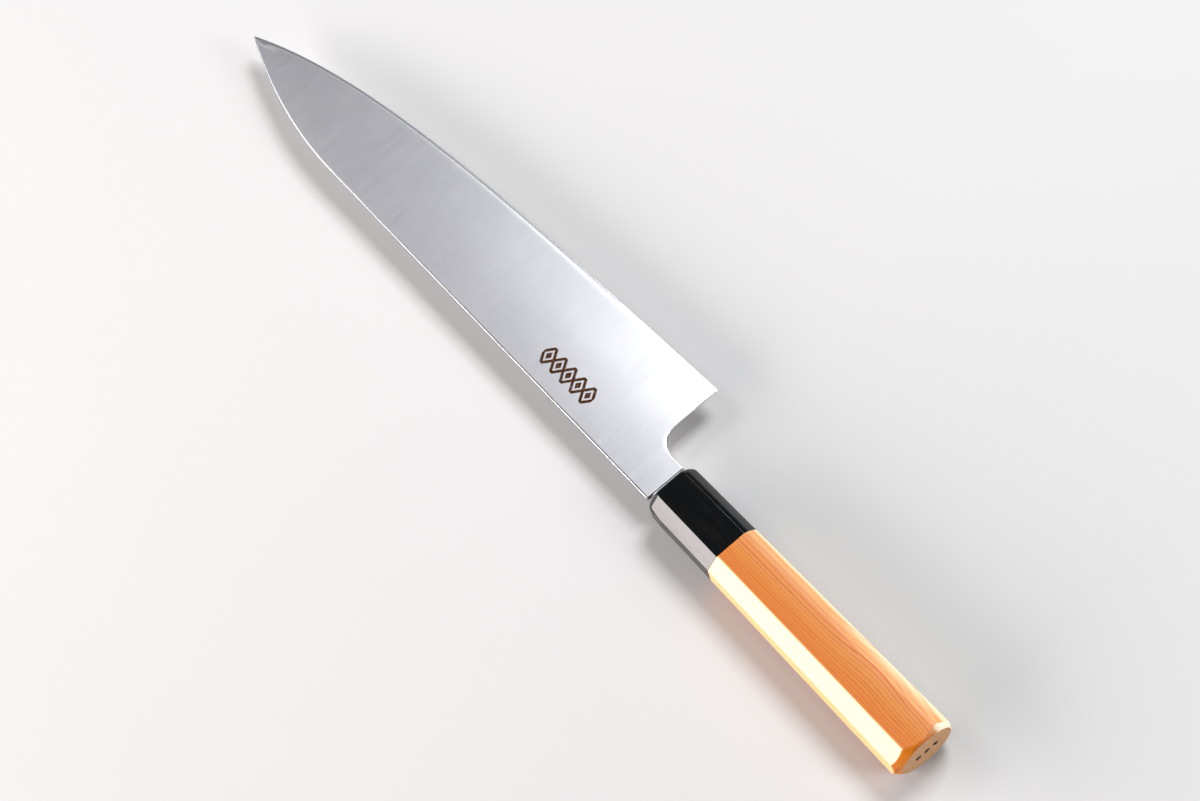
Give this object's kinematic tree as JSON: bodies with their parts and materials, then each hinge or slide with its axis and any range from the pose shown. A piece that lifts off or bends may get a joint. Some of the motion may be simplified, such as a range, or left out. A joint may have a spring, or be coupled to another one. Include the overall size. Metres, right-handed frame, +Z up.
{
  "type": "chef knife",
  "caption": "Japanese-style chef's knife with a plain steel blade, square heel, dark octagonal ferrule and tapered octagonal wooden handle, lying on its side.",
  "frame": {"origin": "middle of the underside of the bounding box, with the knife lying on its left side", "axes": "+X along the handle's axis towards the tip, +Y in the plane of the blade towards the spine, +Z up, out of the right-hand side of the blade"},
  "size_m": [0.394, 0.051, 0.021],
  "materials": {
    "blade_steel": "satin, fine polishing lines across the blade, bright polished rim",
    "ferrule_horn": "polished black horn or resin",
    "handle_wood": "smooth fine-grained orange wood with pale sapwood along the corners",
    "dowel_wood": "plain pale hardwood",
    "glue": "cured amber resin",
    "seal": "dark wax or resin"
  },
  "bodies": {
    "root": {"blade": "blade_steel", "ferrule": "ferrule_horn", "handle_body": "handle_wood", "dowel": "dowel_wood", "tang_glue": "glue", "mouth_seal": "seal"}
  },
  "joints": []
}
